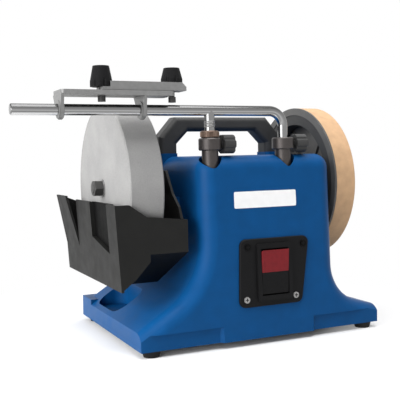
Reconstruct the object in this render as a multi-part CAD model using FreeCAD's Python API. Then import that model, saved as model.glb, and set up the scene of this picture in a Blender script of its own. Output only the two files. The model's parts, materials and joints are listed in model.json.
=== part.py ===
import FreeCAD, Part
import math
import os

V = FreeCAD.Vector
os.makedirs("parts", exist_ok=True)

# Whetstone sharpener. X runs along the wheel shaft with the stone at -X, -Y is the front,
# +Z is up and z = 0 is the floor. All sizes are in millimetres.

# Shaft line
shaft_height = 182.0
shaft_r = 6.0
running_gap = 0.05
seat_gap = 0.3

# Grinding stone
stone_dia = 200.0
stone_width = 40.0
stone_left = -160.0
washer_r = 10.5
washer_t = 2.0
stone_nut_r = 10.0
stone_nut_len = 10.0
flange_r = 30.0
flange_t = 8.0
spacer_r = 10.0

# Strop wheel
strop_left = 107.0
strop_width = 30.0
strop_dia = 194.0
leather_t = 5.0
rim_t = 4.0
web_t = 6.0
strop_flange_t = 2.5
hub_r = 14.0
friction_ring_inner_r = 75.0
friction_ring_len = 18.0
strop_washer_r = 20.0
strop_washer_t = 2.5
knob_r = 18.0
knob_len = 14.0
knob_lobes = 6
lobe_r = 4.0

# Housing
base_half_x = 157.0
base_half_y = 116.5
foot_height = 7.0
wing_edge_left = 0.11 * shaft_height
wing_edge_right = wing_edge_left + 1.0
body_left = -79.0
body_right = 96.0
body_top = shaft_height + 36.0
flare_r_left = 82.0
flare_slope_left = 32.0
flare_r_right = 50.0
flare_slope_right = 16.0
top_inset_y = 10.0
wall = 4.0
edge_round = 18.0
top_round = 17.0
pad_height = 6.5
pad_size = 40.0
pad_round = 18.0
skirt_step = 4.0
skirt_left = -62.0
skirt_right = 64.0
pad_front_height = 18.0
drip_depth = 5.0
drip_x = (6.0 - base_half_x, 45.0 - base_half_x)
drip_y = (-8.0, base_half_y - 44.0)
drip_round = 15.0
boss_r = 8.0
vent_count = 7
vent_w = 4.0
vent_h = 46.0
vent_pitch = 12.0
vent_z = shaft_height - 32.0

# Feet and bottom cover
foot_r = 11.0
foot_x = base_half_x - 15.5
foot_y = base_half_y - 14.5
cover_t = 2.5
screw_r = 2.0
screw_head_r = 4.0
foot_recess = 3.0

# Carry handle
handle_x = 8.0
handle_y = 25.0
handle_half = 76.0
grip_half = 48.0
shoulder_drop = 16.0
grip_z = body_top + 41.0
grip_t = 18.0
grip_depth = 26.0
grip_round = 6.0
handle_pad_h = 4.0
handle_pad_x = 24.0
handle_pad_y = 30.0
handle_screw_r = 2.5
handle_screw_head_r = 5.0
handle_screw_head_t = 3.0
handle_screw_grip = 16.0

# Tool support
bar_r = 6.0
bar_y = -94.0
bar_z = shaft_height + 87.0
bar_left = -283.5
bend_r = 18.0
leg_left_x = -61.5
leg_right_x = 34.5
leg_bottom = body_top - 42.0
sleeve_r = 9.5
sleeve_head_r = 13.0
sleeve_bottom = body_top - 48.0
sleeve_neck = 6.0
sleeve_sink = 18.0
sleeve_boss_r = 15.0
sleeve_head_h = 14.0
nut_r = 10.5
nut_h = 8.0
lock_z_in_head = 7.0
lock_screw_r = 3.0
lock_knob_r = 11.0
lock_knob_len = 14.0
lock_knob_gap = 1.5
lock_lobe_r = 3.0

# Straight-edge jig
jig_plate_left = -234.0
jig_plate_right = -109.0
jig_plate_front = -108.0
jig_plate_back = -72.0
jig_plate_z = 15.0
jig_plate_t = 5.2
ear_x = (-232.4, -142.3)
ear_t = 3.2
ear_r = 10.4
jig_bush_r = 8.0
jig_bush_flange_r = 9.5
jig_bush_flange_t = 1.0
clamp_left = -188.0
clamp_right = -92.0
clamp_t = 9.2
clamp_cut = 5.0
clamp_half_y = 11.0
clamp_y = -90.0
tool_gap = 1.0
bolt_x = (-186.0, -105.0)
bolt_r = 3.0
bolt_clear = 0.3
bolt_head_r = 4.2
bolt_head_t = 6.0
bolt_top = 12.0
jig_knob_r = 12.0
jig_knob_top_r = 8.8
jig_knob_h = 16.0
knob_sink = 6.0
knob_well_gap = 0.8
jig_knob_lobes = 8
jig_lobe_r = 2.2

# Water tray
tray_left = -174.0
tray_lean = 5.5
tray_right = -95.0
tray_right_low = -114.0
tray_front = -103.5
tray_back = 115.0
tray_floor = shaft_height - stone_dia / 2 - 9.0
tray_knee = tray_floor + 39.0
tray_floor_front = -55.0
tray_floor_back = 72.0
tray_rim = tray_floor + 94.0
tray_t = 3.0
front_drop_x = (-163.0, -143.0)
front_mid = tray_rim - 14.0
front_low = tray_rim - 19.0
guard_front = ((-91.0, 0.0), (-84.0, 13.0), (-66.0, 27.0), (-55.0, 42.0))
guard_top = shaft_height + 20.0
guard_half_y = 47.0
guard_end_z = tray_rim - 17.0
slot_half = 13.0
notch_y = 53.0
notch_z = tray_floor + 35.0
fin_reach = 14.5
fin_top = tray_rim + 4.0
gusset = ((-157.0, tray_floor + 13.0), (-140.0, tray_floor + 31.0))
groove_y = (-72.0, -8.0)
groove_z = (tray_floor + 39.0, tray_floor + 53.0)
groove_depth = 5.0
fin_front = 70.0
back_rim = tray_rim - 6.0
back_rim_x = -160.0
rail_y = 42.0
rail_t = 6.0
rail_z = (shaft_height - 57.0, shaft_height - 12.0)

# Switch
plate_x = 6.5
plate_z = 83.0
plate_top_w = 92.0
plate_bottom_w = 83.0
plate_h = 78.0
plate_skew = 4.0
plate_t = 3.0
plate_round = 8.0
plate_screw_in = 9.0
plate_screw_r = 2.0
plate_screw_head_r = 3.6
plate_screw_head_t = 1.5
switch_w = 46.0
switch_h = 66.0
frame_t = 3.0
case_w = 40.0
case_h = 58.0
case_wall = 2.0
case_depth = 26.0
rocker_gap = 0.6
rocker_pivot = 2.0
rocker_stand = 1.6
rocker_depth = 9.0
rocker_pin_r = 2.0
rocker_pin_len = 1.5
switch_shift_x = 1.0

# Drive motor
motor_left = -30.0
motor_len = 92.0
motor_r = 50.0
can_t = 3.0
shield_t = 6.0
bearing_r = 13.0
bearing_w = 8.0
spindle_r = 6.0
spindle_hole_r = 11.0
rotor_r = 27.0
rotor_len = 56.0
stator_inner_r = 28.0
stator_len = 50.0
bracket_t = 5.0
bracket_half_y = 40.0
bracket_w = 30.0
capacitor_r = 17.0
capacitor_len = 62.0
capacitor_y = base_half_y - 38.5
gland_x = -45.0
gland_z = foot_height + 33.0
gland_r = 8.0
gland_head_r = 11.0
gland_head_t = 8.0
gland_bore_r = 3.5
bush_r = 14.0
bush_flange_r = 18.0
bush_flange_t = 4.0
bush_tail = 8.0

# Sizes worked out from the ones above
stone_right = stone_left + stone_width
spindle_reach = strop_left + friction_ring_len - 1
strop_right = strop_left + strop_width
rim_r = strop_dia / 2 - leather_t
motor_z = shaft_height - friction_ring_inner_r + spindle_r + seat_gap
front_lean = math.atan2(top_inset_y, body_top - foot_height)
sleeve_top = body_top + sleeve_neck + sleeve_head_h
sleeve_seat_z = body_top - sleeve_sink
jig_plate_bottom = bar_z + jig_plate_z
jig_plate_top = jig_plate_bottom + jig_plate_t
clamp_bottom = jig_plate_top + tool_gap
clamp_top = clamp_bottom + clamp_t


def cyl_x(r, x0, x1, y=0.0, z=shaft_height):
    return Part.makeCylinder(r, x1 - x0, V(x0, y, z), V(1, 0, 0))


def cyl_y(r, y0, y1, x, z):
    return Part.makeCylinder(r, y1 - y0, V(x, y0, z), V(0, 1, 0))


def cyl_z(r, z0, z1, x, y):
    return Part.makeCylinder(r, z1 - z0, V(x, y, z0), V(0, 0, 1))


def ring_x(r_out, r_in, x0, x1, y=0.0, z=shaft_height):
    return cyl_x(r_out, x0, x1, y, z).cut(cyl_x(r_in, x0 - 1, x1 + 1, y, z))


def box(x0, x1, y0, y1, z0, z1):
    return Part.makeBox(x1 - x0, y1 - y0, z1 - z0, V(x0, y0, z0))


def prism_xz(points, y0, y1):
    wire = Part.makePolygon([V(x, y0, z) for x, z in points + points[:1]])
    return Part.Face(wire).extrude(V(0, y1 - y0, 0))


def prism_yz(points, x0, x1):
    wire = Part.makePolygon([V(x0, y, z) for y, z in points + points[:1]])
    return Part.Face(wire).extrude(V(x1 - x0, 0, 0))


def rounded_box(x0, x1, y0, y1, z0, z1, r):
    block = box(x0, x1, y0, y1, z0, z1)
    upright = [e for e in block.Edges if abs(e.tangentAt(e.FirstParameter).z) > 0.99]
    return block.makeFillet(r, upright)


def lobed(r, lobes, lobe_radius, length):
    # Round knob with shallow finger scallops, standing on z = 0
    body = Part.makeCylinder(r, length)
    for i in range(lobes):
        a = 2 * math.pi * i / lobes
        spot = V((r + 0.55 * lobe_radius) * math.cos(a), (r + 0.55 * lobe_radius) * math.sin(a), -1)
        body = body.cut(Part.makeCylinder(lobe_radius, length + 2, spot))
    return body


def turned(shape, axis_from, axis_to, place):
    shape = shape.copy()
    shape.Placement = FreeCAD.Placement(place, FreeCAD.Rotation(axis_from, axis_to))
    return shape


def on_front(shape):
    # Moves a piece drawn on the plane y = 0 about z = plate_z onto the leaning front face
    face_y = -base_half_y + top_inset_y * (plate_z - foot_height) / (body_top - foot_height)
    shape = shape.copy()
    lean = FreeCAD.Rotation(V(1, 0, 0), -math.degrees(front_lean))
    shape.Placement = FreeCAD.Placement(V(plate_x, face_y, plate_z), lean)
    return shape


def flare(wall_x, out, edge_z, radius, slope, inset):
    # Concave sweep from the upright wall down to the wing's edge: arc start, middle, end and edge point
    turn = math.radians(90 - slope)
    centre_x = wall_x + out * radius
    run = base_half_x - abs(wall_x) - radius * (1 - math.cos(turn))
    start_z = edge_z + run * math.tan(math.radians(slope)) + radius * math.sin(turn)
    r = radius + inset
    angles = (0, turn / 2, turn)
    spots = [V(centre_x - out * r * math.cos(a), 0, start_z - r * math.sin(a)) for a in angles]
    edge_x = out * (base_half_x - inset)
    fall = abs(edge_x - spots[2].x) * math.tan(math.radians(slope))
    return spots, V(edge_x, 0, spots[2].z - fall)


def housing_form(inset, bottom):
    # Front outline with its two flares, met by the leaning side outline
    left, left_edge = flare(body_left, -1, foot_height + wing_edge_left, flare_r_left, flare_slope_left,
                            inset)
    right, right_edge = flare(body_right, 1, foot_height + wing_edge_right, flare_r_right,
                              flare_slope_right, inset)
    top = body_top - inset
    low_left, low_right = V(left_edge.x, 0, bottom), V(right_edge.x, 0, bottom)
    top_left, top_right = V(left[0].x, 0, top), V(right[0].x, 0, top)
    edges = [
        Part.LineSegment(low_left, left_edge),
        Part.LineSegment(left_edge, left[2]),
        Part.Arc(left[2], left[1], left[0]),
        Part.LineSegment(left[0], top_left),
        Part.LineSegment(top_left, top_right),
        Part.LineSegment(top_right, right[0]),
        Part.Arc(right[0], right[1], right[2]),
        Part.LineSegment(right[2], right_edge),
        Part.LineSegment(right_edge, low_right),
        Part.LineSegment(low_right, low_left),
    ]
    wire = Part.Wire([e.toShape() for e in edges])
    wire.translate(V(0, -base_half_y - 1, 0))
    front = Part.Face(wire).extrude(V(0, 2 * base_half_y + 2, 0))
    half, half_top = base_half_y - inset, base_half_y - top_inset_y - inset
    side = prism_yz([(-half, bottom), (half, bottom), (half_top, top), (-half_top, top)],
                    -base_half_x - 1, base_half_x + 1)
    return front.common(side)


def rounded_form(inset, bottom):
    # One radius down the four upright corners and their flares, another round the top
    form = housing_form(inset, bottom)
    corner = []
    for e in form.Edges:
        mid = e.valueAt((e.FirstParameter + e.LastParameter) / 2)
        on_wall = abs(mid.x - body_left - inset) < 0.5 or abs(mid.x - body_right + inset) < 0.5
        if on_wall and abs(mid.y) > base_half_y / 2 and mid.z < body_top - inset - 1:
            corner.append(e)
    form = form.makeFillet(edge_round - inset, corner)
    rim = [e for e in form.Edges if e.BoundBox.ZMin > body_top - inset - 0.5]
    return form.makeFillet(top_round - inset, rim)


def corner_pad(sx):
    # Raised pad at a rear corner of the base, with one rounded inner corner
    outer, inner = sx * base_half_x, sx * (base_half_x - pad_size)
    edge = wing_edge_left if sx < 0 else wing_edge_right
    x0, x1 = min(outer, inner), max(outer, inner)
    block = box(x0, x1, base_half_y - pad_size, base_half_y, foot_height, foot_height + edge + pad_height)
    lean_y = top_inset_y * (edge + pad_height) / (body_top - foot_height)
    block = block.cut(prism_yz([(base_half_y, foot_height), (base_half_y + 1, foot_height),
                                (base_half_y + 1, body_top),
                                (base_half_y - lean_y, foot_height + edge + pad_height)],
                               x0 - 1, x1 + 1))
    spot = [e for e in block.Edges if abs(e.tangentAt(e.FirstParameter).z) > 0.99
            and abs(e.CenterOfMass.x - inner) < 0.1 and e.CenterOfMass.y < base_half_y - 1]
    return block.makeFillet(pad_round, spot)


def front_step(x0, x1):
    # The base's front corners stand back from the middle skirt behind a slanted step
    z0, z1 = foot_height - 1, foot_height + pad_front_height
    front, face = -base_half_y - 1, -base_half_y + skirt_step
    lean = skirt_step + 1
    if x1 < 0:
        outline = [(x0, front), (x1 + lean, front), (x1, face), (x0, face)]
    else:
        outline = [(x1, front), (x0 - lean, front), (x0, face), (x1, face)]
    wire = Part.makePolygon([V(x, y, z0) for x, y in outline + outline[:1]])
    return Part.Face(wire).extrude(V(0, 0, z1 - z0))


def foot_spots():
    return [(sx * foot_x, sy * foot_y) for sx in (-1, 1) for sy in (-1, 1)]


def housing():
    cavity = rounded_form(wall, foot_height - 1)
    under = rounded_form(0, foot_height)
    shell = under
    for sx in (-1, 1):
        shell = shell.fuse(corner_pad(sx))
    shell = shell.cut(cavity)
    for x0, x1 in ((-base_half_x - 1, skirt_left), (skirt_right, base_half_x + 1)):
        inner = box(x0, x1, -base_half_y, -base_half_y + skirt_step + wall,
                    foot_height + cover_t + seat_gap,
                    foot_height + pad_front_height + wall)
        shell = shell.fuse(inner.common(under))
        shell = shell.cut(front_step(x0, x1))
    for x, y in foot_spots():
        shell = shell.fuse(cyl_z(boss_r, foot_height + cover_t, body_top, x, y).common(under))
    floor_z = drip_floor_z()
    tank = rounded_box(drip_x[0] - wall, drip_x[1] + wall, drip_y[0] - wall, drip_y[1] + wall,
                       floor_z - wall, body_top, drip_round + wall)
    shell = shell.fuse(tank.common(under))
    shell = shell.cut(rounded_box(drip_x[0], drip_x[1], drip_y[0], drip_y[1], floor_z, body_top,
                                  drip_round))
    for sx in (-1, 1):
        x = handle_x + sx * handle_half
        shell = shell.fuse(rounded_box(x - handle_pad_x / 2, x + handle_pad_x / 2,
                                       handle_y - handle_pad_y / 2, handle_y + handle_pad_y / 2,
                                       body_top - top_round, body_top + handle_pad_h, 5))
        hole_top = body_top + handle_pad_h + 1
        shell = shell.cut(cyl_z(handle_screw_r + seat_gap, body_top - 2 * top_round, hole_top, x,
                                handle_y))
    for sy in (-1, 1):
        shell = shell.fuse(box(tray_right + seat_gap, body_left + wall / 2, sy * rail_y - rail_t / 2,
                               sy * rail_y + rail_t / 2, rail_z[0], rail_z[1]))
    for x in (leg_left_x, leg_right_x):
        shell = shell.fuse(cyl_z(sleeve_boss_r, sleeve_bottom + 1, body_top, x, bar_y).common(under))
        shell = shell.cut(cyl_z(sleeve_head_r, sleeve_seat_z, body_top + 1, x, bar_y))
        shell = shell.cut(cyl_z(sleeve_r + running_gap, sleeve_bottom, body_top + 1, x, bar_y))
    shell = shell.cut(cyl_x(bush_r + running_gap, body_left - 1, body_left + wall + 1))
    shell = shell.cut(cyl_x(bush_r + running_gap, body_right - wall - 1, body_right + 1))
    shell = shell.cut(cyl_x(spindle_hole_r, body_right - wall - 1, body_right + 1, 0, motor_z))
    shell = shell.cut(on_front(box(switch_shift_x - case_w / 2 - seat_gap,
                                   switch_shift_x + case_w / 2 + seat_gap,
                                   -plate_t, 2 * wall, -case_h / 2 - seat_gap, case_h / 2 + seat_gap)))
    shell = shell.cut(cyl_y(gland_r + running_gap, base_half_y - 4 * wall, base_half_y + 1, gland_x,
                            gland_z))
    for i in range(vent_count):
        x = plate_x + (i - (vent_count - 1) / 2) * vent_pitch
        shell = shell.cut(box(x - vent_w / 2, x + vent_w / 2, base_half_y / 2, base_half_y + 1,
                              vent_z - vent_h / 2, vent_z + vent_h / 2))
    return shell.removeSplitter()


def drip_floor_z():
    # The drip floor lies just under the wing's outer edge
    return foot_height + wing_edge_left - drip_depth + (base_half_x + drip_x[0]) * math.tan(
        math.radians(flare_slope_left))


def bottom_cover():
    half_x, half_y = base_half_x - wall - seat_gap, base_half_y - wall - skirt_step - seat_gap
    plate = rounded_box(-half_x, half_x, -half_y, half_y, foot_height, foot_height + cover_t, 6)
    for x, y in foot_spots():
        plate = plate.cut(cyl_z(screw_r + seat_gap, 0, 2 * foot_height, x, y))
    return plate


def rubber_feet():
    feet = []
    for x, y in foot_spots():
        foot = Part.makeCone(foot_r - 2, foot_r, foot_height, V(x, y, 0))
        foot = foot.cut(cyl_z(screw_r + seat_gap, -1, foot_height + 1, x, y))
        feet.append(foot.cut(cyl_z(screw_head_r + seat_gap, -1, foot_recess, x, y)))
    return Part.makeCompound(feet)


def cover_screws():
    screws = []
    for x, y in foot_spots():
        head = cyl_z(screw_head_r, foot_recess - 2, foot_recess, x, y)
        screws.append(head.fuse(cyl_z(screw_r, foot_recess - 1, foot_height + cover_t, x, y)))
    return Part.makeCompound(screws)


def carry_handle():
    # Trapezoid grip on two feet, drawn as one outline and rounded along its length
    foot_z = body_top + handle_pad_h
    top, low = grip_z + grip_t / 2, grip_z - grip_t / 2
    out, leg = handle_half + handle_pad_x / 2, handle_half - handle_pad_x / 2
    half = [(out, foot_z), (out, grip_z - shoulder_drop), (grip_half + grip_t, top), (0, top)]
    inner = [(0, low), (grip_half, low), (leg, low - shoulder_drop), (leg, foot_z)]
    right = [(handle_x + x, z) for x, z in half] + [(handle_x - x, z) for x, z in reversed(half[:-1])]
    under = [(handle_x - x, z) for x, z in reversed(inner[1:])] + [(handle_x + x, z) for x, z in inner[1:]]
    body = prism_xz(right + under, handle_y - grip_depth / 2, handle_y + grip_depth / 2)
    along = [e for e in body.Edges if abs(e.tangentAt(e.FirstParameter).y) < 0.1
             and (e.BoundBox.ZMin > foot_z + 0.1 or e.BoundBox.ZLength > 1)]
    body = body.makeFillet(grip_round, along)
    for sx in (-1, 1):
        x = handle_x + sx * handle_half
        body = body.cut(cyl_z(handle_screw_r + running_gap, foot_z - 1, foot_z + handle_screw_grip - 4, x,
                              handle_y))
    return body


def handle_screws():
    screws = []
    seat = body_top - top_round - handle_screw_head_t
    for sx in (-1, 1):
        x = handle_x + sx * handle_half
        shank = cyl_z(handle_screw_r, seat, body_top + handle_pad_h + handle_screw_grip - 6, x, handle_y)
        head = cyl_z(handle_screw_head_r, seat, seat + handle_screw_head_t, x, handle_y)
        screws.append(head.fuse(shank))
    return Part.makeCompound(screws)


def support_sleeve(x):
    tube = cyl_z(sleeve_r, sleeve_bottom, body_top + sleeve_neck, x, bar_y)
    head = cyl_z(sleeve_head_r, body_top + sleeve_neck, sleeve_top, x, bar_y)
    head = head.makeChamfer(1.2, [e for e in head.Edges if e.Closed])
    seat = cyl_z(sleeve_head_r - 1, sleeve_seat_z, sleeve_seat_z + 2, x, bar_y)
    sleeve = tube.fuse([head, seat])
    sleeve = sleeve.cut(cyl_z(bar_r + running_gap, sleeve_bottom - 1, sleeve_top + 1, x, bar_y))
    return sleeve.cut(cyl_x(lock_screw_r + running_gap, x, x + 2 * sleeve_head_r, bar_y, lock_z()))


def lock_z():
    return body_top + sleeve_neck + lock_z_in_head


def lock_knob(x):
    start = x + bar_r + seat_gap
    face = x + sleeve_head_r + lock_knob_gap
    screw = cyl_x(lock_screw_r, start, face + 1, bar_y, lock_z())
    collar = cyl_x(lock_screw_r + 2, x + sleeve_head_r + seat_gap, face + 1, bar_y, lock_z())
    head = lobed(lock_knob_r, knob_lobes, lock_lobe_r, lock_knob_len)
    head = turned(head, V(0, 0, 1), V(1, 0, 0), V(face, bar_y, lock_z()))
    return head.fuse([screw, collar])


def support_bar():
    bend_x, bend_z = leg_right_x - bend_r, bar_z - bend_r
    mid = V(bend_x + bend_r * math.sin(math.pi / 4), bar_y, bend_z + bend_r * math.cos(math.pi / 4))
    path = Part.Wire([
        Part.LineSegment(V(bar_left, bar_y, bar_z), V(bend_x, bar_y, bar_z)).toShape(),
        Part.Arc(V(bend_x, bar_y, bar_z), mid, V(leg_right_x, bar_y, bend_z)).toShape(),
        Part.LineSegment(V(leg_right_x, bar_y, bend_z), V(leg_right_x, bar_y, leg_bottom)).toShape(),
    ])
    section = Part.Wire([Part.Circle(V(bar_left, bar_y, bar_z), V(1, 0, 0), bar_r).toShape()])
    bent = path.makePipeShell([section], True, False)
    tip = [e for e in bent.Edges if e.Closed and e.BoundBox.XMax < bar_left + 0.5]
    bent = bent.makeChamfer(1.0, tip)
    leg = cyl_z(bar_r, leg_bottom, bar_z, leg_left_x, bar_y)
    return bent.fuse(leg).removeSplitter()


def micro_adjust_nut():
    bottom = sleeve_top + seat_gap
    nut = cyl_z(nut_r, bottom, bottom + nut_h, leg_left_x, bar_y)
    nut = nut.makeChamfer(1.0, [e for e in nut.Edges if e.Closed])
    return nut.cut(cyl_z(bar_r + running_gap, bottom - 1, bottom + nut_h + 1, leg_left_x, bar_y))


def jig_bushes():
    bushes = []
    for x in ear_x:
        x0, x1 = x - ear_t / 2, x + ear_t / 2
        tube = cyl_x(jig_bush_r, x0 - jig_bush_flange_t, x1 + jig_bush_flange_t, bar_y, bar_z)
        for a in (x0 - jig_bush_flange_t - running_gap, x1 + running_gap):
            tube = tube.fuse(cyl_x(jig_bush_flange_r, a, a + jig_bush_flange_t, bar_y, bar_z))
        bore = cyl_x(bar_r + running_gap, x0 - ear_t, x1 + ear_t, bar_y, bar_z)
        bushes.append(tube.cut(bore).removeSplitter())
    return Part.makeCompound(bushes)


def ear(x):
    # Tapered cheek that hangs from the plate and closes round the bar
    x0 = x - ear_t / 2
    drop = jig_plate_bottom + 1
    cheek = prism_yz([(jig_plate_front, drop), (jig_plate_back, drop),
                      (bar_y + ear_r * 0.95, bar_z - ear_r * 0.3),
                      (bar_y - ear_r * 0.95, bar_z - ear_r * 0.3)], x0, x0 + ear_t)
    return cheek.fuse(cyl_x(ear_r, x0, x0 + ear_t, bar_y, bar_z))


def jig_base():
    plate = rounded_box(jig_plate_left, jig_plate_right, jig_plate_front, jig_plate_back,
                        jig_plate_bottom, jig_plate_top, 4)
    for x in ear_x:
        plate = plate.fuse(ear(x))
    for x in ear_x:
        plate = plate.cut(cyl_x(jig_bush_r + running_gap, x - ear_t, x + ear_t, bar_y, bar_z))
    hole_r = bolt_r + bolt_clear
    plate = plate.cut(cyl_z(hole_r, jig_plate_bottom - 1, jig_plate_top + 1, bolt_x[0], clamp_y))
    plate = plate.cut(box(bolt_x[1] - 2 * bolt_r, jig_plate_right + 1, clamp_y - hole_r, clamp_y + hole_r,
                          jig_plate_bottom - 1, jig_plate_top + 1))
    return plate.removeSplitter()


def jig_clamp():
    # Upper jaw with cut corners at its ends and a well for the left knob
    y0, y1 = clamp_y - clamp_half_y, clamp_y + clamp_half_y
    points = [(clamp_left, clamp_bottom), (clamp_right, clamp_bottom),
              (clamp_right, clamp_top - clamp_cut),
              (clamp_right - clamp_cut, clamp_top), (clamp_left + clamp_cut, clamp_top),
              (clamp_left, clamp_top - clamp_cut)]
    jaw = prism_xz(points, y0, y1)
    for x in bolt_x:
        jaw = jaw.cut(cyl_z(bolt_r + bolt_clear, clamp_bottom - 1, clamp_top + 1, x, clamp_y))
    well = cyl_z(jig_knob_r + knob_well_gap, clamp_top - knob_sink, clamp_top + 1, bolt_x[0], clamp_y)
    return jaw.cut(well)


def jig_bolts():
    bolts = []
    for x in bolt_x:
        seat = jig_plate_bottom
        head = cyl_z(bolt_head_r, seat - bolt_head_t, seat, x, clamp_y)
        bolts.append(head.fuse(cyl_z(bolt_r, seat - 1, clamp_top + bolt_top, x, clamp_y)))
    return Part.makeCompound(bolts)


def jig_knob(x, sink):
    height = jig_knob_h + sink
    knob = lobed(jig_knob_r, jig_knob_lobes, jig_lobe_r, height)
    knob = knob.common(Part.makeCone(jig_knob_r + 1, jig_knob_top_r, height))
    seat = clamp_top - sink + seat_gap
    knob.translate(V(x, clamp_y, seat))
    return knob.cut(cyl_z(bolt_r + running_gap, seat - 1, clamp_top + bolt_top + seat_gap, x, clamp_y))


def tray_form(inset):
    # Trough: the end-on outline met by the outline seen along the shaft
    side = [(tray_front + inset, guard_top + 1), (tray_front + inset, tray_knee),
            (tray_floor_front + inset * 0.4, tray_floor + inset),
            (tray_floor_back - inset * 0.4, tray_floor + inset),
            (tray_back - inset, tray_knee), (tray_back - inset, guard_top + 1)]
    low = tray_floor + inset
    lean = tray_lean / (tray_rim - tray_floor)
    top = guard_top + 1
    end = [(tray_left + inset, low), (tray_right_low - inset * 0.7, low), (tray_right - inset, tray_knee),
           (tray_right - inset, top), (tray_left + inset - lean * (top - tray_floor), top)]
    return prism_yz(side, tray_left - 4 * tray_lean, tray_right + 1).common(
        prism_xz(end, tray_front - 1, tray_back + 1))


def cheek_slab(near, far, top):
    # Slab that leans with the left end, between two depths from its outer face
    out = tray_lean * (top - tray_floor) / (tray_rim - tray_floor)
    return prism_xz([(tray_left + near, tray_floor), (tray_left + far, tray_floor),
                     (tray_left + far - out, top),
                     (tray_left + near - out, top)], tray_front, tray_back)


def groove_form(grow):
    front, rear = groove_y[0] - grow, groove_y[1] + grow
    top = tray_rim + tray_t
    return prism_yz([(front, top), (front, groove_z[0] - grow), (rear, groove_z[1] - grow), (rear, top)],
                    tray_left - 4 * tray_lean, tray_left + 4 * tray_t)


def tray_cheek():
    # Left end plate, square to its lower corners, backed where the groove is pressed in
    plate = cheek_slab(0, tray_t, tray_rim)
    plate = plate.cut(box(tray_left - 4 * tray_lean, tray_left + 2 * tray_t, notch_y, tray_back + 1,
                          notch_z, guard_top))
    return plate.fuse(groove_form(tray_t).common(cheek_slab(0, groove_depth + tray_t, tray_rim)))


def tray_fin():
    # Rear corner folded outward as a pouring lip, with the rear wall carried out to meet it
    out_x, tip_x = tray_left - 2, tray_left - fin_reach
    spots = [V(out_x, tray_back, notch_z), V(out_x, notch_y, notch_z), V(tip_x, fin_front, fin_top),
             V(tip_x, tray_back, fin_top)]
    lip = Part.Face(Part.makePolygon(spots + spots[:1])).extrude(V(tray_t, 0, 0))
    back = prism_xz([(out_x, notch_z - 1), (tip_x, fin_top), (tip_x + tray_t, fin_top),
                     (back_rim_x, back_rim),
                     (tray_right, back_rim), (tray_right, notch_z - 1)], tray_back - tray_t, tray_back)
    return lip.fuse(back)


def water_tray():
    shell = tray_form(0).cut(tray_form(tray_t))
    top = guard_top + 2
    left_edge = tray_left - 5 * tray_lean
    shell = shell.cut(box(left_edge, tray_right - 3 * tray_t, tray_front + tray_t + 1, tray_back + 1,
                          tray_rim, top))
    shell = shell.cut(prism_xz([(left_edge, tray_rim), (front_drop_x[0], tray_rim),
                                (front_drop_x[1], front_mid),
                                (tray_right + 1, front_low), (tray_right + 1, top), (left_edge, top)],
                               tray_front - 1, tray_front + tray_t + 1))
    shell = shell.cut(box(left_edge, tray_left + 2 * tray_t, notch_y, tray_back - tray_t, notch_z, top))
    shell = shell.cut(box(left_edge, tray_right - 3 * tray_t, tray_back - 2 * tray_t, tray_back + 1,
                          back_rim, top))
    rise = [(y, front_low + z) for y, z in guard_front]
    guard = [(tray_front - 1, front_low), *rise, (-guard_half_y, guard_top),
             (-slot_half, guard_top), (-slot_half, shaft_height), (slot_half, shaft_height),
             (slot_half, guard_top), (guard_half_y, guard_top), (tray_back, guard_end_z),
             (tray_back + 1, guard_end_z),
             (tray_back + 1, top), (tray_front - 1, top)]
    shell = shell.cut(prism_yz(guard, tray_right - 3 * tray_t, tray_right + 1))
    shell = shell.cut(cyl_x(slot_half, tray_right - 3 * tray_t, tray_right + 1))
    corner = prism_xz([(tray_left, tray_floor), gusset[0], gusset[1], (gusset[1][0], tray_knee + 1),
                       (tray_left, tray_knee + 1)], tray_front, tray_front + tray_t)
    groove = groove_form(0).common(cheek_slab(-tray_t, groove_depth, tray_rim + tray_t))
    return shell.fuse([tray_cheek(), tray_fin(), corner]).cut(groove).removeSplitter()


def plate_outline(inset):
    half_top, half_low, half_h = plate_top_w / 2 - inset, plate_bottom_w / 2 - inset, plate_h / 2 - inset
    return [(-half_low - plate_skew, -half_h), (half_low - plate_skew, -half_h),
            (half_top + plate_skew, half_h), (plate_skew - half_top, half_h)]


def plate_screw_spots():
    spots = []
    for x, z in plate_outline(plate_screw_in):
        spots.append((x, z))
    return spots


def switch_plate():
    plate = prism_xz(plate_outline(0), -plate_t, 0)
    corners = [e for e in plate.Edges if abs(e.tangentAt(e.FirstParameter).y) > 0.99]
    plate = plate.makeFillet(plate_round, corners)
    rim = [e for e in plate.Edges if e.BoundBox.YMax < -plate_t + 0.1]
    plate = plate.makeChamfer(0.8, rim)
    plate = plate.cut(box(switch_shift_x - case_w / 2 - seat_gap, switch_shift_x + case_w / 2 + seat_gap,
                          -2 * plate_t, plate_t, -case_h / 2 - seat_gap, case_h / 2 + seat_gap))
    for x, z in plate_screw_spots():
        plate = plate.cut(cyl_y(plate_screw_r + seat_gap, -2 * plate_t, plate_t, x, z))
    return on_front(plate)


def switch_plate_screws():
    screws = []
    for x, z in plate_screw_spots():
        head = cyl_y(plate_screw_head_r, -plate_t - plate_screw_head_t, -plate_t, x, z)
        screws.append(on_front(head.fuse(cyl_y(plate_screw_r, -plate_t - 0.5, 0, x, z))))
    return Part.makeCompound(screws)


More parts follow.
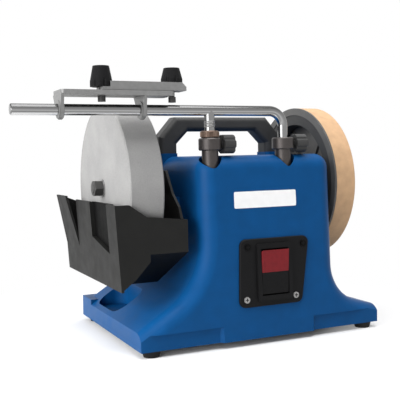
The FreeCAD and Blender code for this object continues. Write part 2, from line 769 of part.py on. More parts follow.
def switch_body():
    # Frame that stands on the plate, with the case behind it
    half_w, half_h = switch_w / 2, switch_h / 2
    frame = box(switch_shift_x - half_w, switch_shift_x + half_w, -plate_t - frame_t, -plate_t, -half_h,
                half_h)
    upright = [e for e in frame.Edges if abs(e.tangentAt(e.FirstParameter).y) > 0.99]
    frame = frame.makeFillet(3.0, upright)
    case = box(switch_shift_x - case_w / 2, switch_shift_x + case_w / 2, -plate_t - 0.5, case_depth,
               -case_h / 2, case_h / 2)
    body = frame.fuse(case)
    well_w, well_h = case_w / 2 - case_wall, case_h / 2 - case_wall
    well = box(switch_shift_x - well_w, switch_shift_x + well_w, -plate_t - frame_t - 1, case_depth - 4,
               -well_h, well_h)
    body = body.cut(well)
    pin = cyl_x(rocker_pin_r + running_gap, switch_shift_x - well_w - rocker_pin_len - seat_gap,
                switch_shift_x + well_w + rocker_pin_len + seat_gap, rocker_pivot, 0)
    return on_front(body.cut(pin))


def switch_rocker():
    half_w, half_h = case_w / 2 - case_wall - rocker_gap, case_h / 2 - case_wall - rocker_gap
    lip = -plate_t - frame_t
    points = [(lip - 2.6, half_h - 1.0), (lip - rocker_stand + 1.6, 0), (lip + 1.6, -half_h + 1.0),
              (lip + rocker_depth, -half_h + 8), (lip + rocker_depth + 4, 0),
              (lip + rocker_depth, half_h - 8)]
    body = prism_yz(points, switch_shift_x - half_w, switch_shift_x + half_w)
    pin_reach = half_w + rocker_gap + rocker_pin_len
    pin = cyl_x(rocker_pin_r, switch_shift_x - pin_reach, switch_shift_x + pin_reach, rocker_pivot, 0)
    return on_front(body.fuse(pin))


def shaft_bush(wall_x, out):
    inner = wall_x - out * (wall + bush_tail)
    x0, x1 = min(wall_x, inner), max(wall_x, inner)
    flange0 = min(wall_x, wall_x + out * bush_flange_t)
    bush = cyl_x(bush_r, x0, x1).fuse(cyl_x(bush_flange_r, flange0, flange0 + bush_flange_t))
    return bush.cut(cyl_x(shaft_r + running_gap, x0 - wall - bush_tail,
                          x1 + wall + bush_tail)).removeSplitter()


def main_shaft():
    end_left = stone_left - washer_t - stone_nut_len - 1
    end_right = strop_right + strop_washer_t + knob_len / 2
    shaft = cyl_x(shaft_r, end_left, end_right)
    ends = [e for e in shaft.Edges if e.Closed]
    return shaft.makeChamfer(1.0, ends)


def grinding_stone():
    stone = cyl_x(stone_dia / 2, stone_left, stone_right)
    stone = stone.makeChamfer(1.5, [e for e in stone.Edges if e.Closed])
    return stone.cut(cyl_x(shaft_r + running_gap, stone_left - 1, stone_right + 1))


def stone_inner_flange():
    spacer_end = body_left - bush_flange_t - seat_gap
    disc = cyl_x(flange_r, stone_right, stone_right + flange_t)
    disc = disc.makeFillet(3.0, [e for e in disc.Edges if e.Closed and e.BoundBox.XMin > stone_right + 1])
    disc = disc.fuse(cyl_x(spacer_r, stone_right + 1, spacer_end))
    return disc.cut(cyl_x(shaft_r + running_gap, stone_right - 1, spacer_end + 1)).removeSplitter()


def stone_washer():
    return ring_x(washer_r, shaft_r + running_gap, stone_left - washer_t, stone_left)


def stone_nut():
    x0 = stone_left - washer_t - stone_nut_len
    x1 = stone_left - washer_t
    hexagon = [V(x0, stone_nut_r * math.cos(a * math.pi / 3),
                 shaft_height + stone_nut_r * math.sin(a * math.pi / 3))
               for a in range(7)]
    nut = Part.Face(Part.makePolygon(hexagon)).extrude(V(x1 - x0, 0, 0))
    cone = Part.makeCone(stone_nut_r - 1.2, stone_nut_r + 9, stone_nut_len + 1, V(x0, 0, shaft_height),
                         V(1, 0, 0))
    return nut.common(cone).cut(cyl_x(shaft_r + running_gap, x0 - 1, x1 + 1))


def strop_wheel():
    # Plastic cup that opens towards the housing, with a hub and a stepped web
    cup = cyl_x(rim_r, strop_left, strop_right).cut(cyl_x(rim_r - rim_t, strop_left - 1,
                                                          strop_right - web_t))
    cup = cup.fuse(cyl_x(hub_r, body_right + bush_flange_t + seat_gap, strop_right))
    cup = cup.fuse(ring_x(strop_dia / 2, rim_r - rim_t, strop_left, strop_left + strop_flange_t))
    for i in range(knob_lobes):
        rib = box(-1.5, 1.5, hub_r - 1, friction_ring_inner_r, 0, 4)
        rib.Placement = FreeCAD.Placement(V(strop_right - web_t + 0.5, 0, shaft_height),
                                          FreeCAD.Rotation(V(1, 0, 0), 360 * i / knob_lobes).multiply(
                                              FreeCAD.Rotation(V(0, 1, 0), -90)))
        cup = cup.fuse(rib)
    groove = ring_x(rim_r * 0.72, rim_r * 0.42, strop_right - 1.5, strop_right + 1)
    return cup.cut(groove).cut(cyl_x(shaft_r + running_gap, body_right, strop_right + 1)).removeSplitter()


def leather_band():
    band = ring_x(strop_dia / 2, rim_r + running_gap, strop_left + strop_flange_t, strop_right)
    rims = [e for e in band.Edges if e.Closed and e.BoundBox.ZLength > strop_dia - 1]
    return band.makeFillet(1.0, rims)


def friction_ring():
    return ring_x(rim_r - rim_t - running_gap, friction_ring_inner_r, strop_left + 1,
                  strop_left + 1 + friction_ring_len)


def strop_washer():
    return ring_x(strop_washer_r, shaft_r + running_gap, strop_right, strop_right + strop_washer_t)


def strop_knob():
    head = lobed(knob_r, knob_lobes, lobe_r, knob_len)
    top = [e for e in head.Edges if e.BoundBox.ZMin > knob_len - 0.1]
    head = head.makeChamfer(1.0, top)
    start = strop_right + strop_washer_t
    head = turned(head, V(0, 0, 1), V(1, 0, 0), V(start, 0, shaft_height))
    return head.cut(cyl_x(shaft_r + running_gap, start - 1, start + knob_len / 2 + 1))


def motor_x():
    return motor_left, motor_left + motor_len


def motor_can():
    x0, x1 = motor_x()
    can = ring_x(motor_r, motor_r - can_t, x0 + shield_t, x1 - shield_t, 0, motor_z)
    mid = (x0 + x1) / 2
    core = ring_x(motor_r - can_t + 0.5, stator_inner_r, mid - stator_len / 2, mid + stator_len / 2, 0,
                  motor_z)
    return can.fuse(core).removeSplitter()


def motor_shield(x0, inward):
    # Domed end shield with a bearing seat
    shield = cyl_x(motor_r, x0, x0 + shield_t, 0, motor_z)
    outer = [e for e in shield.Edges if e.Closed and (e.CenterOfMass.x - x0 - shield_t / 2) * inward < 0]
    shield = shield.makeFillet(2.5, outer)
    seat0 = x0 + shield_t - 1 if inward > 0 else x0 - bearing_w + 1
    shield = shield.fuse(cyl_x(bearing_r + 4, seat0, seat0 + bearing_w, 0, motor_z))
    shield = shield.cut(cyl_x(bearing_r + running_gap, x0 - 3 * shield_t, x0 + 3 * shield_t, 0, motor_z))
    return shield.removeSplitter()


def motor_bearings():
    x0, x1 = motor_x()
    rings = []
    for start in (x0 + 1, x1 - 1 - bearing_w):
        rings.append(ring_x(bearing_r, spindle_r + running_gap, start, start + bearing_w, 0, motor_z))
    return Part.makeCompound(rings)


def rotor():
    x0, x1 = motor_x()
    mid = (x0 + x1) / 2
    core = ring_x(rotor_r, spindle_r + running_gap, mid - rotor_len / 2, mid + rotor_len / 2, 0, motor_z)
    return core


def motor_spindle():
    x0, _ = motor_x()
    spindle = cyl_x(spindle_r, x0 - 4, spindle_reach, 0, motor_z)
    return spindle.makeChamfer(0.8, [e for e in spindle.Edges if e.Closed])


def motor_bracket():
    # Cradle that carries the motor on the bottom cover
    x0, x1 = motor_x()
    mid = (x0 + x1) / 2
    cover_top = foot_height + cover_t
    block = box(mid - bracket_w / 2, mid + bracket_w / 2, -bracket_half_y, bracket_half_y, cover_top,
                motor_z - 10)
    block = block.cut(cyl_x(motor_r + seat_gap, x0, x1, 0, motor_z))
    hollow = box(mid - bracket_w, mid + bracket_w, -bracket_half_y + 2 * bracket_t,
                 bracket_half_y - 2 * bracket_t,
                 cover_top + bracket_t, motor_z - motor_r - bracket_t)
    return block.cut(hollow)


def capacitor():
    z0 = foot_height + cover_t
    can = cyl_z(capacitor_r, z0, z0 + capacitor_len, motor_left, capacitor_y)
    can = can.makeFillet(2.0, [e for e in can.Edges if e.Closed])
    stud = cyl_z(3.0, z0 + capacitor_len - 1, z0 + capacitor_len + 6, motor_left, capacitor_y)
    return can.fuse(stud)


def cable_gland():
    face = base_half_y - top_inset_y * (gland_z - foot_height) / (body_top - foot_height)
    slack = gland_head_r * math.tan(front_lean)
    head = Part.makeCone(gland_head_r, gland_r, gland_head_t, V(gland_x, face + slack, gland_z),
                         V(0, 1, 0))
    tube = cyl_y(gland_r, face - 3 * wall, face + slack + 1, gland_x, gland_z)
    bore = cyl_y(gland_bore_r, face - 4 * wall, face + 4 * gland_head_t, gland_x, gland_z)
    return head.fuse(tube).cut(bore)


x_left, x_right = motor_x()
pieces = {
    "housing": housing(),
    "bottom_cover": bottom_cover(),
    "rubber_feet": rubber_feet(),
    "cover_screws": cover_screws(),
    "carry_handle": carry_handle(),
    "handle_screws": handle_screws(),
    "support_sleeve_left": support_sleeve(leg_left_x),
    "support_sleeve_right": support_sleeve(leg_right_x),
    "switch_plate": switch_plate(),
    "switch_plate_screws": switch_plate_screws(),
    "switch_body": switch_body(),
    "switch_rocker": switch_rocker(),
    "shaft_bush_left": shaft_bush(body_left, -1),
    "shaft_bush_right": shaft_bush(body_right, 1),
    "motor_can": motor_can(),
    "motor_shield_left": motor_shield(x_left, 1),
    "motor_shield_right": motor_shield(x_right - shield_t, -1),
    "motor_bearings": motor_bearings(),
    "motor_bracket": motor_bracket(),
    "capacitor": capacitor(),
    "cable_gland": cable_gland(),
    "main_shaft": main_shaft(),
    "grinding_stone": grinding_stone(),
    "stone_inner_flange": stone_inner_flange(),
    "stone_washer": stone_washer(),
    "stone_nut": stone_nut(),
    "strop_wheel": strop_wheel(),
    "leather_band": leather_band(),
    "friction_ring": friction_ring(),
    "strop_washer": strop_washer(),
    "strop_knob": strop_knob(),
    "rotor": rotor(),
    "motor_spindle": motor_spindle(),
    "water_tray": water_tray(),
    "support_bar": support_bar(),
    "micro_adjust_nut": micro_adjust_nut(),
    "lock_knob_left": lock_knob(leg_left_x),
    "lock_knob_right": lock_knob(leg_right_x),
    "jig_bushes": jig_bushes(),
    "jig_base": jig_base(),
    "jig_clamp": jig_clamp(),
    "jig_bolts": jig_bolts(),
    "jig_knob_left": jig_knob(bolt_x[0], knob_sink),
    "jig_knob_right": jig_knob(bolt_x[1], 0),
}
# The origin is the middle of the whole outline, on the floor
span_x = (bar_left, max(base_half_x, strop_right + strop_washer_t + knob_len))
span_y = (pieces["switch_rocker"].BoundBox.YMin, pieces["cable_gland"].BoundBox.YMax)
to_origin = V(-sum(span_x) / 2, -sum(span_y) / 2, 0)
for name, shape in pieces.items():
    shape.translate(to_origin)
    shape.exportStep("parts/" + name + ".step")
print("moved by", to_origin)
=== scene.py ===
import json
import math

import bmesh
import bpy
from mathutils import Matrix, Vector


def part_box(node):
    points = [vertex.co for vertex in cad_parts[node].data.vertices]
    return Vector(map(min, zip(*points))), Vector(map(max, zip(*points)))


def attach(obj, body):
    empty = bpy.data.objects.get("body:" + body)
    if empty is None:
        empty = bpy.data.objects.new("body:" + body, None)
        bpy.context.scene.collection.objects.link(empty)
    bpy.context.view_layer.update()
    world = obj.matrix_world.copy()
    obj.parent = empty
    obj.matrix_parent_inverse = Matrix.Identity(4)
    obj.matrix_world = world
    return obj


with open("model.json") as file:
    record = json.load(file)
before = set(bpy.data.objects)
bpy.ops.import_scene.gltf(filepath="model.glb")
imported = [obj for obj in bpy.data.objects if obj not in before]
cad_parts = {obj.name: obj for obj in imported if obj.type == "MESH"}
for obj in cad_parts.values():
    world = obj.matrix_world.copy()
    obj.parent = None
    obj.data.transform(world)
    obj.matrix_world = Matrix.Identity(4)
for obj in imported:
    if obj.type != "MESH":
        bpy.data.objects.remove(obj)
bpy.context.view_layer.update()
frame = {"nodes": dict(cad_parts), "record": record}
nodes = frame["nodes"]
scene = bpy.context.scene

# Places are written in millimetres from axes of their own, with y = 0 on the shaft line and the
# stone's left face at x = -160, and are carried into the shared frame here
MM = 0.001
STONE_LEFT_X = -160.0
stone_low, stone_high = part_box("grinding_stone")
SHIFT = Vector((stone_low[0] - STONE_LEFT_X * MM, (stone_low[1] + stone_high[1]) / 2, 0.0))


def place(x, y, z):
    return Vector((x, y, z)) * MM + SHIFT


def axes_matrix(right, up, out, spot):
    # Local X, Y and Z along the three axes, standing at the spot
    return Matrix.Translation(spot) @ Matrix((right, up, out)).transposed().to_4x4()


# Materials
BUMP_DEPTH = 0.0004
ROUGH_VARY = 0.12
UNDERSIDE_SHADE_RANGE = (0.3, 0.46)
SWITCH_Z = 83.0


def grey(tone):
    return (tone, tone, tone)


def new_material(name):
    material = bpy.data.materials.new(name)
    material.use_nodes = True
    tree = material.node_tree
    return material, tree, tree.nodes["Principled BSDF"]


def noise(tree, scale, detail=4.0):
    where = tree.nodes.new("ShaderNodeTexCoord")
    texture = tree.nodes.new("ShaderNodeTexNoise")
    texture.inputs["Scale"].default_value = scale
    texture.inputs["Detail"].default_value = detail
    tree.links.new(where.outputs["Object"], texture.inputs["Vector"])
    return texture.outputs["Fac"]


def ramp(tree, source, low, high, start=0.3, end=0.7):
    node = tree.nodes.new("ShaderNodeValToRGB")
    for stop, position, color in zip(node.color_ramp.elements, (start, end), (low, high)):
        stop.position = position
        stop.color = (*color, 1.0)
    tree.links.new(source, node.inputs["Fac"])
    return node.outputs["Color"]


def mixed(tree, factor, first, second):
    node = tree.nodes.new("ShaderNodeMix")
    node.data_type = "RGBA"
    tree.links.new(factor, node.inputs["Factor"])
    tree.links.new(first, node.inputs["A"])
    tree.links.new(second, node.inputs["B"])
    return node.outputs["Result"]


def multiplied(tree, first, second):
    node = tree.nodes.new("ShaderNodeMix")
    node.data_type = "RGBA"
    node.blend_type = "MULTIPLY"
    node.inputs["Factor"].default_value = 1.0
    tree.links.new(first, node.inputs["A"])
    tree.links.new(second, node.inputs["B"])
    return node.outputs["Result"]


def math_node(tree, operation, first, second):
    node = tree.nodes.new("ShaderNodeMath")
    node.operation = operation
    tree.links.new(first, node.inputs[0])
    tree.links.new(second, node.inputs[1])
    return node.outputs[0]


def add_bump(tree, shader, source, strength):
    bump = tree.nodes.new("ShaderNodeBump")
    bump.inputs["Strength"].default_value = strength
    bump.inputs["Distance"].default_value = BUMP_DEPTH
    tree.links.new(source, bump.inputs["Height"])
    tree.links.new(bump.outputs["Normal"], shader.inputs["Normal"])


def facing_up(tree):
    # How far a face looks upward, from 0 straight down to 1 straight up
    where = tree.nodes.new("ShaderNodeNewGeometry")
    axes = tree.nodes.new("ShaderNodeSeparateXYZ")
    tree.links.new(where.outputs["Normal"], axes.inputs["Vector"])
    lift = tree.nodes.new("ShaderNodeMapRange")
    lift.inputs["From Min"].default_value = -1.0
    tree.links.new(axes.outputs["Z"], lift.inputs["Value"])
    return lift.outputs["Result"]


def surface(name, color, rough, metal=0.0, vary=0.12, scale=60.0, grain=900.0, bump=0.0,
            specular=0.5, shade_under=1.0):
    # The base colour drifts gently, a fine grain is in the relief, and faces that look down keep
    # only the given share of the colour, as painted shade
    material, tree, shader = new_material(name)
    drift = noise(tree, scale)
    low = tuple(c * (1 - vary) for c in color)
    high = tuple(min(1.0, c * (1 + vary)) for c in color)
    tone = ramp(tree, drift, low, high)
    if shade_under < 1.0:
        # Painted shade: faces that look down are darkened
        painted_shade = ramp(tree, facing_up(tree), grey(shade_under), grey(1.0), *UNDERSIDE_SHADE_RANGE)
        tone = multiplied(tree, tone, painted_shade)
    tree.links.new(tone, shader.inputs["Base Color"])
    smooth, coarse = rough * (1 - ROUGH_VARY), min(1.0, rough * (1 + ROUGH_VARY))
    tree.links.new(ramp(tree, drift, grey(smooth), grey(coarse)), shader.inputs["Roughness"])
    shader.inputs["Metallic"].default_value = metal
    shader.inputs["Specular IOR Level"].default_value = specular
    if bump:
        add_bump(tree, shader, noise(tree, grain), bump)
    return material


def stone_material():
    # Speckled grey, a little cloudy
    material, tree, shader = new_material("whetstone")
    fine = noise(tree, 1400.0, detail=6.0)
    speck = ramp(tree, fine, (0.268, 0.266, 0.262), (0.345, 0.342, 0.336))
    cloud = ramp(tree, noise(tree, 30.0), (0.86, 0.86, 0.87), grey(1.0))
    tree.links.new(multiplied(tree, speck, cloud), shader.inputs["Base Color"])
    shader.inputs["Roughness"].default_value = 0.92
    add_bump(tree, shader, fine, 0.12)
    return material


def split_material(name, above_tones, below_tones, metal=0.0):
    # One look above the middle of the switch and another below it
    material, tree, shader = new_material(name)
    where = tree.nodes.new("ShaderNodeTexCoord")
    axes = tree.nodes.new("ShaderNodeSeparateXYZ")
    tree.links.new(where.outputs["Object"], axes.inputs["Vector"])
    above = tree.nodes.new("ShaderNodeMath")
    above.operation = "GREATER_THAN"
    above.inputs[1].default_value = SWITCH_Z * MM
    tree.links.new(axes.outputs["Z"], above.inputs[0])
    drift = noise(tree, 200.0)
    high = ramp(tree, drift, *above_tones)
    low = ramp(tree, drift, *below_tones)
    tree.links.new(mixed(tree, above.outputs[0], low, high), shader.inputs["Base Color"])
    shader.inputs["Roughness"].default_value = 0.4
    shader.inputs["Metallic"].default_value = metal
    shader.inputs["Specular IOR Level"].default_value = 0.1
    return material


# Upward look of a face and its tone of painted reflection
PAINTED_REFLECTION_BANDS = (
    (0.0, 0.6), (0.14, 0.6), (0.28, 0.18), (0.41, 0.42),
    (0.5, 0.25), (0.64, 0.19), (0.78, 0.09), (1.0, 0.12),
)


def chrome_material():
    # Polished round bar with a painted reflection in bands, from the floor below to the dim ceiling
    material, tree, shader = new_material("chrome")
    painted_bands = tree.nodes.new("ShaderNodeValToRGB")
    stops = painted_bands.color_ramp.elements
    for position, _ in PAINTED_REFLECTION_BANDS[1:-1]:
        stops.new(position)
    for stop, (position, tone) in zip(stops, PAINTED_REFLECTION_BANDS):
        stop.position = position
        stop.color = (*grey(tone), 1.0)
    # Painted reflection: the base colour follows how far a face looks up
    tree.links.new(facing_up(tree), painted_bands.inputs["Fac"])
    tree.links.new(painted_bands.outputs["Color"], shader.inputs["Base Color"])
    scuff = ramp(tree, noise(tree, 60.0), grey(0.13), grey(0.17))
    tree.links.new(scuff, shader.inputs["Roughness"])
    shader.inputs["Metallic"].default_value = 1.0
    return material


def label_material():
    # Bare glossy white
    material, tree, shader = new_material("label_white")
    paper = ramp(tree, noise(tree, 120.0), grey(0.9), grey(0.95))
    tree.links.new(paper, shader.inputs["Base Color"])
    shader.inputs["Roughness"].default_value = 0.4
    return material


BLUE = surface("blue_shell", (0.0034, 0.067, 0.212), 0.4, vary=0.06, bump=0.05, specular=0.1)
BLACK = surface("black_plastic", (0.0075, 0.0075, 0.008), 0.5, bump=0.06, specular=0.1)
GRIP = surface("grip_plastic", grey(0.037), 0.5, bump=0.08, specular=0.3)
# The tray's faces that look down get painted shade, a quarter of the colour
TRAY = surface("tray_plastic", (0.0115, 0.0115, 0.011), 0.51, grain=700.0, bump=0.12,
               specular=0.15, shade_under=0.25)
# Painted shade for the tray's side recess, with a coarser grain
RECESS_SHADED = surface("tray_recess_shaded", grey(0.004), 0.62, grain=500.0, bump=0.2, specular=0.06)
CUP = surface("cup_plastic", (0.088, 0.086, 0.083), 0.5, bump=0.05, specular=0.3)
RUBBER = surface("rubber", grey(0.014), 0.8, bump=0.1, specular=0.2)
LEATHER = surface("leather", (0.56, 0.36, 0.208), 0.66, vary=0.1, scale=90.0, grain=1500.0,
                  bump=0.12, specular=0.25)
CHROME = chrome_material()
STEEL = surface("steel", grey(0.42), 0.3, metal=1.0, vary=0.08, scale=300.0)
ALLOY = surface("alloy", (0.23, 0.23, 0.228), 0.42, metal=0.45, vary=0.07, scale=240.0, bump=0.04)
NUT_STEEL = surface("nut_steel", (0.06, 0.059, 0.058), 0.5, metal=0.5, vary=0.1, scale=300.0)
DARK_STEEL = surface("dark_steel", (0.066, 0.059, 0.057), 0.4, metal=0.75, vary=0.1, scale=300.0)
IRON = surface("iron", grey(0.1), 0.6, metal=0.6, bump=0.1)
BRASS = surface("adjuster_brass", (0.135, 0.092, 0.07), 0.45, metal=0.7, scale=400.0)
WHITE = label_material()
STONE = stone_material()
ROCKER = split_material(
    "rocker", ((0.17, 0.018, 0.022), (0.21, 0.02, 0.025)),
    ((0.006, 0.006, 0.0065), (0.008, 0.008, 0.0085)))
# Painted shade: the upper screw heads are near-black, the lower ones plain grey metal
PLATE_SCREW_SHADED = split_material(
    "plate_screw", (grey(0.004), grey(0.006)),
    ((0.28, 0.275, 0.27), (0.36, 0.355, 0.35)), metal=0.6)

BY_SLOT = {
    "blue_shell": BLUE, "black_plastic": BLACK, "red_plastic": ROCKER, "whetstone": STONE,
    "leather": LEATHER, "rubber": RUBBER, "chrome": CHROME, "steel": STEEL, "alloy": ALLOY,
    "iron": IRON, "brass": BRASS,
}
BY_NODE = {
    "water_tray": TRAY, "strop_wheel": CUP, "jig_bushes": ALLOY, "switch_plate_screws": PLATE_SCREW_SHADED,
    "carry_handle": GRIP, "friction_ring": GRIP, "lock_knob_left": GRIP, "lock_knob_right": GRIP,
    "support_sleeve_left": DARK_STEEL, "support_sleeve_right": DARK_STEEL,
    "stone_nut": NUT_STEEL, "main_shaft": NUT_STEEL, "jig_bolts": NUT_STEEL,
}


def dress(obj, material):
    obj.data.materials.clear()
    obj.data.materials.append(material)


for sub in frame["record"]["subparts"]:
    dress(nodes[sub["node"]], BY_NODE.get(sub["node"], BY_SLOT[sub["material_slot"]]))

# The tray's outer side looks along -x and a little downward
SIDE_NORMAL_X, SIDE_NORMAL_Z = -0.99, -0.03
RECESS_DEPTH = 0.003


def sunken_faces(node, depth):
    # Faces that look the way of the tray's sloping outer side but lie deeper than it
    turn = node.matrix_world.to_3x3()
    side = []
    for face in node.data.polygons:
        normal = turn @ face.normal
        if normal.x < SIDE_NORMAL_X and normal.z < SIDE_NORMAL_Z:
            side.append((normal.dot(node.matrix_world @ face.center), face))
    outer = max(reach for reach, _ in side)
    return [face for reach, face in side if reach < outer - depth]


# The recess in the tray's side has a coarser finish and painted shade, a darker plastic
tray = nodes["water_tray"]
tray.data.materials.append(RECESS_SHADED)
for face in sunken_faces(tray, RECESS_DEPTH):
    face.material_index = 1


# Small pieces
def mesh_object(name, bm):
    mesh = bpy.data.meshes.new(name)
    bm.to_mesh(mesh)
    bm.free()
    obj = bpy.data.objects.new(name, mesh)
    scene.collection.objects.link(obj)
    return obj


def mesh_piece(name, bm, material, body):
    obj = mesh_object(name, bm)
    dress(obj, material)
    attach(obj, body)


def skin(bm, rows):
    # Closes a three-sided ridge: its sides from row to row, and its two ends
    for a, b in zip(rows, rows[1:]):
        for k in range(3):
            n = (k + 1) % 3
            bm.faces.new((a[k], b[k], b[n], a[n]))
    bm.faces.new(rows[0])
    bm.faces.new(list(reversed(rows[-1])))


FRONT_LOW_Y, FRONT_INSET = -116.5, 10.0
FRONT_LOW_Z, FRONT_TOP_Z = 7.0, 218.0
FRONT_LEAN = math.atan2(FRONT_INSET, FRONT_TOP_Z - FRONT_LOW_Z)


def front_matrix(x, z):
    # Axes of the leaning front face: local X along it, local Y up it, local Z out of it
    y = FRONT_LOW_Y + FRONT_INSET * (z - FRONT_LOW_Z) / (FRONT_TOP_Z - FRONT_LOW_Z)
    along = Vector((1.0, 0.0, 0.0))
    up = Vector((0.0, math.sin(FRONT_LEAN), math.cos(FRONT_LEAN)))
    out = Vector((0.0, -math.cos(FRONT_LEAN), math.sin(FRONT_LEAN)))
    return axes_matrix(along, up, out, place(x, y, z))


def rounded_slab(width, height, thick, radius, steps):
    # Rounded rectangle standing on local z = 0, given in millimetres
    bm = bmesh.new()
    ring = []
    for k, (sx, sy) in enumerate(((1, 1), (-1, 1), (-1, -1), (1, -1))):
        for i in range(steps + 1):
            a = math.pi / 2 * (k + i / steps)
            x = sx * (width / 2 - radius) + radius * math.cos(a)
            y = sy * (height / 2 - radius) + radius * math.sin(a)
            ring.append((x * MM, y * MM))
    low = [bm.verts.new((x, y, 0.0)) for x, y in ring]
    high = [bm.verts.new((x, y, thick * MM)) for x, y in ring]
    bm.faces.new(high)
    bm.faces.new(list(reversed(low)))
    for i in range(len(ring)):
        j = (i + 1) % len(ring)
        bm.faces.new((low[i], low[j], high[j], high[i]))
    return bm


LABEL_X, LABEL_Z = 1.2, 167.0
LABEL_W, LABEL_H, LABEL_THICK, LABEL_CORNER, LABEL_STEPS = 81.5, 19.0, 0.5, 1.5, 6
slab = rounded_slab(LABEL_W, LABEL_H, LABEL_THICK, LABEL_CORNER, LABEL_STEPS)
slab.transform(front_matrix(LABEL_X, LABEL_Z))
mesh_piece("label_plate", slab, WHITE, "machine")

BAR_R = 0.006
THREAD_PITCH, THREAD_HEIGHT, THREAD_STEPS = 0.0018, 0.0005, 28
THREAD_SINK, THREAD_HALF = 0.1 * THREAD_HEIGHT, 0.42 * THREAD_PITCH


def thread_coil(x, y, low, high):
    # Helical ridge round the upright leg, its foot sunk a little into it
    bm = bmesh.new()
    rows = []
    for i in range(int((high - low) / THREAD_PITCH * THREAD_STEPS) + 1):
        turn = 2 * math.pi * i / THREAD_STEPS
        z = low + THREAD_PITCH * i / THREAD_STEPS
        row = []
        for reach, rise in (
                (-THREAD_SINK, -THREAD_HALF), (THREAD_HEIGHT, 0.0), (-THREAD_SINK, THREAD_HALF)):
            r = BAR_R + reach
            row.append(bm.verts.new((x + r * math.cos(turn), y + r * math.sin(turn), z + rise)))
        rows.append(row)
    skin(bm, rows)
    bmesh.ops.recalc_face_normals(bm, faces=bm.faces)
    return bm


nut_low, nut_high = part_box("micro_adjust_nut")
_, bar_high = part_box("support_bar")
nut_x, nut_y = (nut_low[0] + nut_high[0]) / 2, (nut_low[1] + nut_high[1]) / 2
coil = thread_coil(nut_x, nut_y, nut_high[2] + 2 * THREAD_PITCH, bar_high[2] - 3 * BAR_R)
mesh_piece("leg_thread", coil, ALLOY, "support")

RIB_COUNT, RIB_WIDTH, RIB_PROUD, RIB_MARGIN = 36, 0.0015, 0.0005, 0.0014


def nut_ribs():
    # Upright ribs round the adjusting nut, as three-sided ridges
    bm = bmesh.new()
    radius = (nut_high[0] - nut_low[0]) / 2
    half = RIB_WIDTH / radius / 2
    for i in range(RIB_COUNT):
        middle = 2 * math.pi * i / RIB_COUNT
        corners = (
            (middle - half, radius - RIB_PROUD), (middle, radius + RIB_PROUD),
            (middle + half, radius - RIB_PROUD))
        ring = [(nut_x + r * math.cos(a), nut_y + r * math.sin(a)) for a, r in corners]
        skin(bm, [
            [bm.verts.new((x, y, z)) for x, y in ring]
            for z in (nut_low[2] + RIB_MARGIN, nut_high[2] - RIB_MARGIN)])
    bmesh.ops.recalc_face_normals(bm, faces=bm.faces)
    return bm


mesh_piece("nut_ribs", nut_ribs(), BRASS, "adjuster")

CROSS_LENGTH, CROSS_WIDTH, CROSS_THICK, CROSS_STEPS = 4.4, 0.9, 0.15, 2
HEAD_FACE_DEPTH = 0.0008


def screw_crosses(node):
    # A thin black cross on each of the plate's four screw heads, painted shade standing for the
    # cross recess
    spots = [node.matrix_world @ v.co for v in node.data.vertices]
    mid_x = (min(v.x for v in spots) + max(v.x for v in spots)) / 2
    mid_z = (min(v.z for v in spots) + max(v.z for v in spots)) / 2
    lean = front_matrix(0.0, SWITCH_Z).to_3x3().to_4x4()
    joined = bmesh.new()
    for side in (-1, 1):
        for level in (-1, 1):
            head = [v for v in spots if (v.x - mid_x) * side > 0 and (v.z - mid_z) * level > 0]
            face_y = min(v.y for v in head)
            face = [v for v in head if v.y < face_y + HEAD_FACE_DEPTH]
            middle = sum(face, Vector()) / len(face)
            for size in ((CROSS_LENGTH, CROSS_WIDTH), (CROSS_WIDTH, CROSS_LENGTH)):
                bar = rounded_slab(*size, CROSS_THICK, CROSS_WIDTH / 3, CROSS_STEPS)
                bar.transform(Matrix.Translation(middle) @ lean)
                piece = bpy.data.meshes.new("cross_bar")
                bar.to_mesh(piece)
                bar.free()
                joined.from_mesh(piece)
                bpy.data.meshes.remove(piece)
    return joined


crosses = screw_crosses(nodes["switch_plate_screws"])
mesh_piece("screw_crosses", crosses, BLACK, "machine")

# Camera, from the vanishing lines and the two wheels of the photograph
CAMERA_AT = (-419.56, -845.28, 218.22)
YAW, PITCH, ROLL = math.radians(24.62), math.radians(3.45), math.radians(-1.22)
FOCAL_PX, FRAME_PX, SENSOR = 731.8, 400.0, 36.0
CLIP_NEAR, CLIP_FAR = 0.01, 100.0
forward = Vector((
    math.sin(YAW) * math.cos(PITCH), math.cos(YAW) * math.cos(PITCH), -math.sin(PITCH)))
level = Vector((math.cos(YAW), -math.sin(YAW), 0.0))
upright = level.cross(forward)
right = level * math.cos(ROLL) + upright * math.sin(ROLL)
up = upright * math.cos(ROLL) - level * math.sin(ROLL)
camera = bpy.data.objects.new("camera", bpy.data.cameras.new("camera"))
camera.data.sensor_width = SENSOR
camera.data.lens = SENSOR * FOCAL_PX / FRAME_PX
camera.data.clip_start = CLIP_NEAR
camera.data.clip_end = CLIP_FAR
camera.matrix_world = axes_matrix(right, up, -forward, place(*CAMERA_AT))
scene.collection.objects.link(camera)
scene.camera = camera

# Floor
FLOOR_HALF, FLOOR_DROP = 12.0, 0.0002
PALE_UNTIL, WHITE_FROM = 0.17, 0.4
SHOWN_TONE, LIT_TONES = 0.89, (0.49, 0.51)


def backdrop_rays(tree):
    # 1 for rays that meet the backdrop straight from the camera, in a mirror or through glass
    path = tree.nodes.new("ShaderNodeLightPath")
    seen = path.outputs["Is Camera Ray"]
    for kind in ("Is Glossy Ray", "Is Transmission Ray"):
        seen = math_node(tree, "MAXIMUM", seen, path.outputs[kind])
    return seen


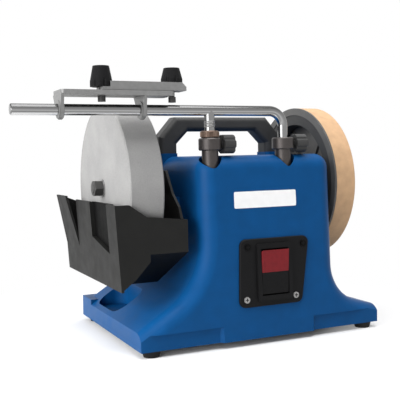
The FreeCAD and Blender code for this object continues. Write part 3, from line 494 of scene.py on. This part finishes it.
def floor_material():
    # Pale near the object, where it shows the shadow, and plain white further out. It lights the
    # object less than it shows
    material, tree, shader = new_material("floor_white")
    where = tree.nodes.new("ShaderNodeTexCoord")
    far = tree.nodes.new("ShaderNodeVectorMath")
    far.operation = "LENGTH"
    tree.links.new(where.outputs["Object"], far.inputs[0])
    distance = tree.nodes.new("ShaderNodeMapRange")
    distance.inputs["From Min"].default_value = PALE_UNTIL
    distance.inputs["From Max"].default_value = WHITE_FROM
    tree.links.new(far.outputs["Value"], distance.inputs["Value"])
    fade = distance.outputs["Result"]
    rays = backdrop_rays(tree)
    shown = ramp(tree, fade, grey(SHOWN_TONE), grey(0.0), 0.0, 1.0)
    lit = ramp(tree, noise(tree, 2.0), grey(LIT_TONES[0]), grey(LIT_TONES[1]))
    tree.links.new(mixed(tree, rays, lit, shown), shader.inputs["Base Color"])
    shader.inputs["Roughness"].default_value = 0.9
    shader.inputs["Specular IOR Level"].default_value = 0.0
    shader.inputs["Emission Color"].default_value = (1.0, 1.0, 1.0, 1.0)
    glow = math_node(tree, "MULTIPLY", fade, rays)
    tree.links.new(glow, shader.inputs["Emission Strength"])
    return material


grid = bmesh.new()
bmesh.ops.create_grid(grid, x_segments=1, y_segments=1, size=FLOOR_HALF)
floor = mesh_object("floor", grid)
floor.location.z = -FLOOR_DROP
dress(floor, floor_material())

# Studio light: white to the camera and in mirrors, brightest from the upper left, dim from the
# front and right
BRIGHT_SIDE = (-0.75, 0.05, 0.6)
ROOM_DIM, ROOM_BRIGHT, ROOM_START = (0.23, 0.23, 0.24), grey(0.8), 0.1


def studio_world():
    world = bpy.data.worlds.new("studio")
    world.use_nodes = True
    tree = world.node_tree
    background = tree.nodes["Background"]
    where = tree.nodes.new("ShaderNodeTexCoord")
    facing = tree.nodes.new("ShaderNodeVectorMath")
    facing.operation = "DOT_PRODUCT"
    facing.inputs[1].default_value = Vector(BRIGHT_SIDE).normalized()
    tree.links.new(where.outputs["Generated"], facing.inputs[0])
    room = ramp(tree, facing.outputs["Value"], ROOM_DIM, ROOM_BRIGHT, ROOM_START, 1.0)
    backdrop = tree.nodes.new("ShaderNodeMix")
    backdrop.data_type = "RGBA"
    tree.links.new(backdrop_rays(tree), backdrop.inputs["Factor"])
    tree.links.new(room, backdrop.inputs["A"])
    backdrop.inputs["B"].default_value = (1.0, 1.0, 1.0, 1.0)
    tree.links.new(backdrop.outputs["Result"], background.inputs["Color"])
    background.inputs["Strength"].default_value = 1.0
    return world


scene.world = studio_world()

# Name, place, aim, size, watts, and whether glossy faces mirror the lamp: the left one would
# glare off the housing's top in views from the right
LAMPS = (
    ("top_light", (0.05, -0.25, 1.7), (0.0, 0.0, 0.1), (1.4, 1.4), 31.0, True),
    ("left_light", (-2.1, 0.0, 0.95), (-0.1, 0.0, 0.15), (1.7, 1.4), 51.0, False),
    ("wall_light", (-2.0, -1.2, 0.4), (-0.08, -0.05, 0.15), (1.6, 0.8), 22.0, True),
)
for name, at, aim, size, watts, mirrored in LAMPS:
    light = bpy.data.lights.new(name, "AREA")
    light.shape = "RECTANGLE"
    light.size, light.size_y = size
    light.energy = watts
    lamp = bpy.data.objects.new(name, light)
    lamp.visible_glossy = mirrored
    lamp.location = at
    lamp.rotation_euler = (Vector(aim) - Vector(at)).to_track_quat("-Z", "Y").to_euler()
    scene.collection.objects.link(lamp)

scene.view_settings.view_transform = "Standard"
